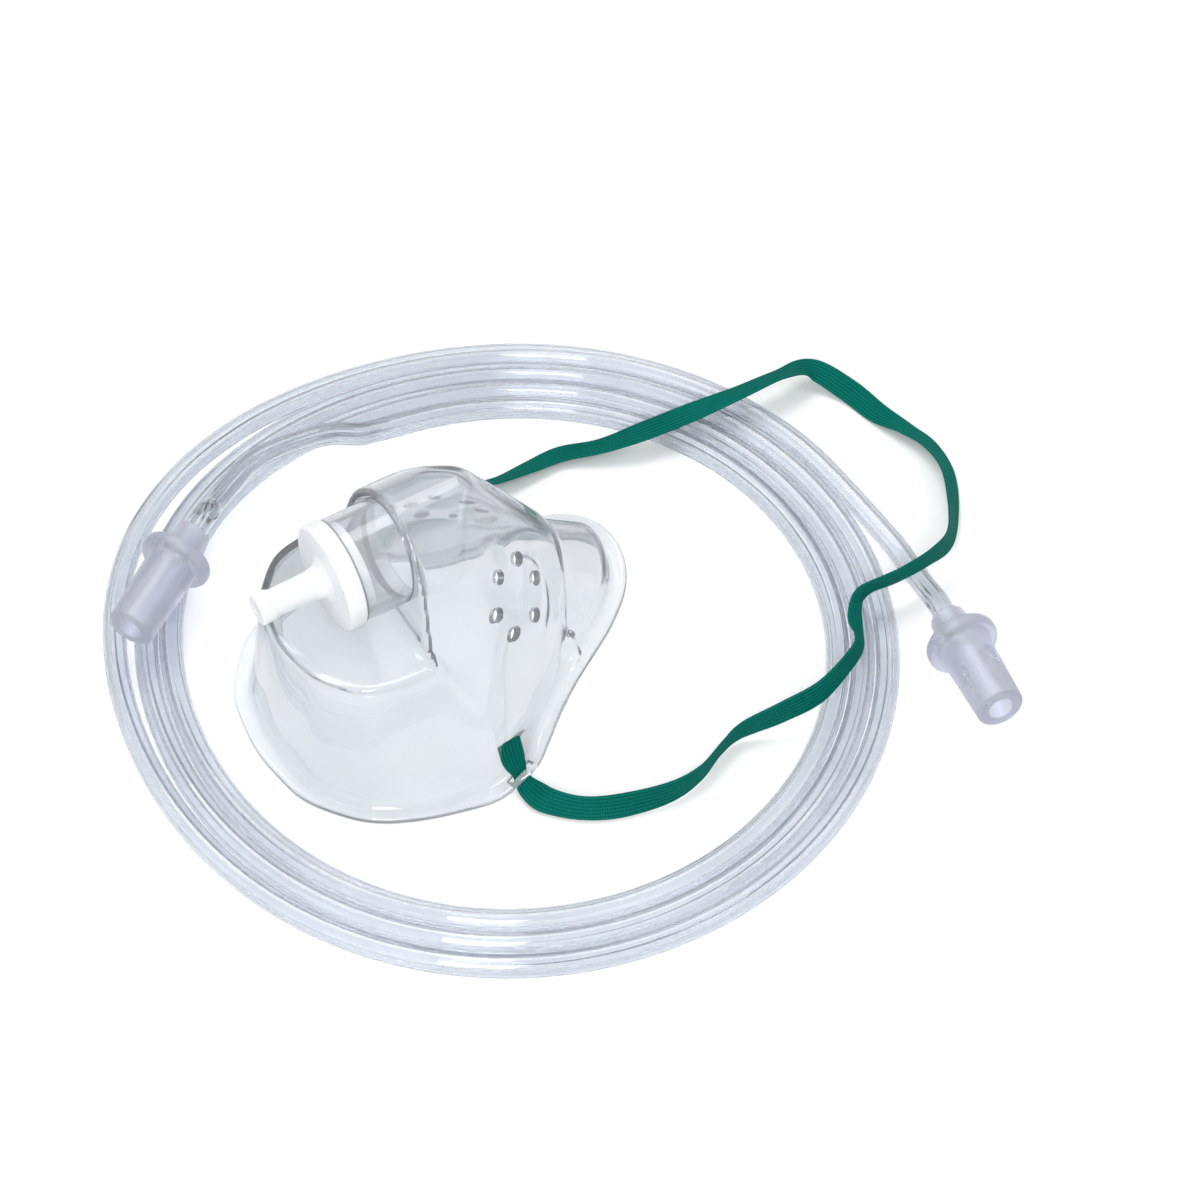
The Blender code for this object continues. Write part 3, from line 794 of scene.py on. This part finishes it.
def body_height(s, y, depth):
    """Shelf, chamber and nose lobe, with every face moved inwards by depth."""
    side = np.sqrt(y * y + 1.0)
    width = FLANK_WIDTH - FLANK_CURVE * (s - FLANK_AT) ** 2
    past = s - depth - STEP_START
    along = np.clip(past / COVE_RADIUS + COVE_REACH, 0, 0.994)
    cove = COVE_RADIUS * (1 - np.sqrt(1 - along ** 2)) * np.clip((width - side) / COVE_RADIUS, 0, 1)
    shelf = SHELF + cove - SHELF_FALL * np.maximum(past - 0.1 * COVE_RADIUS, 0) - depth
    roof = ROOF - side ** 2 / ROOF_SPREAD - depth * np.sqrt(1 + (2 * side / ROOF_SPREAD) ** 2)
    step = SHELF + STEP_RISE * (s - STEP_START) - depth * math.hypot(1, STEP_RISE)
    pad = pad_height(s, side) - depth / PAD_NORMAL[2]
    flank = SHELF + 2 + FLANK_RISE * (width - side) - depth * math.hypot(1, FLANK_RISE)
    arch = ARCH_HEIGHT - ARCH_DROOP * y ** 2 - ARCH_FALL * (s - ARCH_AT + ARCH_BOW * y ** 2)
    arch = arch - depth * math.hypot(1, ARCH_FALL)
    ridge = RIDGE_HEIGHT - RIDGE_FALL * (s - RIDGE_AT) - depth * math.hypot(1, RIDGE_FALL)
    chamber = soft_min(ROOF_BLEND, roof, step, soft_min(FLANK_BLEND, pad, flank), ridge, arch)
    lobe = np.minimum(LOBE_HEIGHT - LOBE_FALL * (s - LOBE_AT), LOBE_TOP) - side ** 2 / LOBE_SPREAD
    lobe = lobe - depth * np.sqrt(1 + LOBE_SLANT + (2 * side / LOBE_SPREAD) ** 2)
    beside = 1 / (1 + np.exp(-(side - FLANK_WIDTH) / BESIDE_BLEND))
    valley = SHELF_BLEND + VALLEY_RADIUS * beside
    return soft_max(SHELF_BLEND, soft_max(valley, shelf, chamber), lobe)


def skin_height(outline, points, depth):
    """The outer face where depth is 0, or the inner face one wall in."""
    s, y = points[:, 0], points[:, 1]
    climb = SHELF / (inset_at(s) - FLANGE)
    rise = distance_to(outline, points) - FLANGE - depth * np.sqrt(1 + 1 / climb ** 2)
    wall = climb * soft_max(RIM_BLEND, rise, np.zeros(len(s)))
    base = rim_height(s)
    body = soft_max(LOWEST_BLEND, body_height(s, y, depth) - base, np.full(len(s), LOWEST))
    lift = WALL if depth == 0 else 0.0
    boss = BOSS_RISE * np.exp(-(np.hypot(s - BOSS[0], np.abs(y) - BOSS[1]) / BOSS_RADIUS) ** 4)
    return base + lift + boss + soft_min(WALL_BLEND, wall, body)


def skin_columns(near, outline, start, rows, depth):
    """Rows of points up each half-column from the rim to the spine, evenly spaced in space."""
    spine = np.stack([SPINE_START + near[:, 0] * SPINE_SHARE, np.zeros(len(near))], axis=1)
    way = spine - near
    reach = np.linalg.norm(way, axis=1)
    t = np.linspace(0, 1, SAMPLES)
    from_rim = (start / reach)[:, None] * (1 - t) + t
    plan = near[:, None, :] + way[:, None, :] * from_rim[..., None]
    height = skin_height(outline, plan.reshape(-1, 2), depth).reshape(plan.shape[:2])
    curve = np.concatenate([plan, height[..., None]], axis=2)
    out = []
    for line in curve:
        run = np.concatenate([[0], np.cumsum(np.linalg.norm(np.diff(line, axis=0), axis=1))])
        even = np.linspace(0, run[-1], rows)
        out.append(np.stack([np.interp(even, run, line[:, k]) for k in range(3)], axis=1))
    return np.array(out)


def bead_arc(near, steps):
    """Half-columns round the rolled bead, from the flange's top to its underside."""
    ahead = np.gradient(near, axis=0)
    out_way = np.stack([ahead[:, 1], -ahead[:, 0]], axis=1)
    out_way /= np.linalg.norm(out_way, axis=1)[:, None]
    out_way[0] = (-1, 0)
    out_way[-1] = (1, 0)
    base = rim_height(near[:, 0])
    arc = []
    for angle in np.radians(np.linspace(*BEAD_ARC, steps)):
        plan = near - out_way * BEAD * (1 - math.cos(angle))
        arc.append(np.column_stack([plan, base + BEAD * (1 + math.sin(angle))]))
    return np.array(arc).transpose(1, 0, 2)


def shell_skin():
    """The closed skin: outer face, bead and inner face on each half, sharing the spine."""
    near, _ = rim_outline(COLUMN_SPACING)
    _, outline = rim_outline(OUTLINE_SPACING)
    outer = skin_columns(near, outline, OUTER_START * BEAD, OUTER_ROWS, 0.0)
    inner = skin_columns(near, outline, INNER_START * BEAD, INNER_ROWS, WALL)
    bead = bead_arc(near, BEAD_STEPS)
    columns = np.concatenate([outer[:, ::-1], bead, inner], axis=1)
    count, rows = columns.shape[:2]
    mirrored = columns[1:-1] * [1, -1, 1]
    points = np.concatenate([columns.reshape(-1, 3), mirrored.reshape(-1, 3)])

    def at(column, row, far):
        if not far or column in (0, count - 1) or row in (0, rows - 1):
            return column * rows + row
        return (count + column - 1) * rows + row

    faces = []
    for far in (False, True):
        for c in range(count - 1):
            for r in range(rows - 1):
                quad = [at(c, r, far), at(c + 1, r, far), at(c + 1, r + 1, far), at(c, r + 1, far)]
                faces.append(quad[::-1] if far else quad)
    return points, faces


def slot_boxes():
    half_long, half_wide = SLOT[0] / 2, SLOT[1] / 2
    boxes = []
    for side in (-1, 1):
        turn = Matrix.Rotation(-side * SLOT_TURN, 4, "Z")
        centre = Vector((TAB_AT - LENGTH / 2, side * SLOT_HALF_WIDTH, SLOT_HEIGHT))
        points = []
        for z in (-SLOT_REACH, SLOT_REACH):
            for x, y in ((-half_long, -half_wide), (half_long, -half_wide),
                         (half_long, half_wide), (-half_long, half_wide)):
                points.append(centre + turn @ Vector((x, y, z)))
        faces = [[3, 2, 1, 0], [4, 5, 6, 7], [0, 1, 5, 4], [1, 2, 6, 5], [2, 3, 7, 6], [3, 0, 4, 7]]
        boxes.append((points, faces))
    return boxes


def vent_drills():
    drills = []
    for side in (-1, 1):
        normal = Vector((PAD_NORMAL[0], side * PAD_NORMAL[1], PAD_NORMAL[2])).normalized()
        centre = Vector((PAD[0] - LENGTH / 2, side * PAD[1], PAD[2] + WALL))
        up = Vector((VENT_TOP[0], side * VENT_TOP[1], VENT_TOP[2]))
        up = (up - normal * normal.dot(up)).normalized()
        across = normal.cross(up)
        for k in range(VENTS):
            angle = 2 * math.pi * k / VENTS
            spot = centre + VENT_CIRCLE * (math.cos(angle) * up + math.sin(angle) * across)
            start = spot - DRILL_REACH * normal
            drills.append(cylinder_data(start, normal, 2 * DRILL_REACH, VENT_RADIUS, 28))
    return drills


def make_shell(mat):
    points, faces = shell_skin()
    points = points - [LENGTH / 2, 0, 0]
    shell = mesh_piece("clear_shell", points, faces, mat)
    start = PORT_START - LENGTH / 2
    length = PORT_END - PORT_START
    spigot = cylinder_data((start, 0, PORT_HEIGHT), (1, 0, 0), length, PORT_RADIUS, 96)
    bore = cylinder_data((start - PAST_PORT, 0, PORT_HEIGHT), (1, 0, 0), length + 2 * PAST_PORT,
                         PORT_BORE, 96)
    cut(shell, [("port_wall", spigot, "UNION"), ("port_bore", bore, "DIFFERENCE"),
                ("vent_drills", joined(vent_drills()), "DIFFERENCE"),
                ("strap_slots", joined(slot_boxes()), "DIFFERENCE")])
    return shell


def make_gas_connector(mat):
    cap_back = PORT_START - GAP
    cap_front = cap_back - CAP_THICKNESS
    skirt = PORT_BORE - GAP
    tip = NIPPLE_START
    skirt_end = cap_back + SKIRT_LENGTH
    profile = rounded([(tip, NIPPLE_BORE, 0.2), (tip, NIPPLE_RADIUS, 0.4),
                       (tip + 3.6, NIPPLE_RADIUS - 0.1, 0.6), (tip + 4.6, NIPPLE_WAIST, 0.8),
                       (cap_front - 4, 3.8, 1.5), (cap_front - 1.0, 4.6, 1.2), (cap_front, 6.4, 0.9),
                       (cap_front, CAP_RADIUS, 1.5), (cap_back, CAP_RADIUS, 0.9), (cap_back, skirt, 0.1),
                       (skirt_end, skirt - 0.2, 0.5), (skirt_end, skirt - 2, 0.5),
                       (cap_back - 1.5, skirt - 2, 0.5), (cap_back - 1.5, NIPPLE_BORE, 0.3)])
    frame = Matrix.Translation(Vector((-LENGTH / 2, 0, PORT_HEIGHT)))
    return turned("gas_inlet_cap", profile, 96, frame, mat)


# ---- assembly ------------------------------------------------------------------------------------

def main():
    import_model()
    add_camera()
    set_view()

    tube_plastic = clear_plastic("clear_tube", (0.83, 0.85, 0.87), (0.89, 0.905, 0.925), (0.03, 0.09),
                                 60, 0.0001, (0.95, 0.955, 0.96), 0.96, ((0.40, 0.43, 0.50), 120))
    lilac = clear_plastic("lilac_pvc", (0.70, 0.715, 0.77), (0.75, 0.765, 0.81), (0.25, 0.4),
                          150, 0.0001, (0.86, 0.86, 0.9), 0.75, ((0.5, 0.5, 0.62), 50))
    tube, path = make_tube(tube_plastic)
    connectors = [tube_connector("left_push_connector", LEFT_NECK, LEFT_DIRECTION, lilac),
                  tube_connector("right_push_connector", RIGHT_NECK, RIGHT_DIRECTION, lilac)]
    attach(tube, "tubing")
    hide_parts("tube_coil", "tube_lead_left", "tube_lead_right")
    for piece, node in zip(connectors, ("tube_connector_left", "tube_connector_right")):
        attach(piece, "tubing")
        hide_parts(node)

    strap, path = make_strap(woven_elastic())
    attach(strap, "mask")
    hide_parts("head_strap")

    shell = make_shell(clear_plastic("clear_pvc", (0.78, 0.795, 0.81), (0.835, 0.845, 0.855), (0.015, 0.06),
                                     35, 0.0002, (0.94, 0.945, 0.95), 0.86, ((0.50, 0.53, 0.57), 120)))
    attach(shell, "mask")
    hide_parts("mask_shell")

    cap = make_gas_connector(white_plastic())
    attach(cap, "connector")
    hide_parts("gas_connector")

    add_floor()
    add_light()


main()
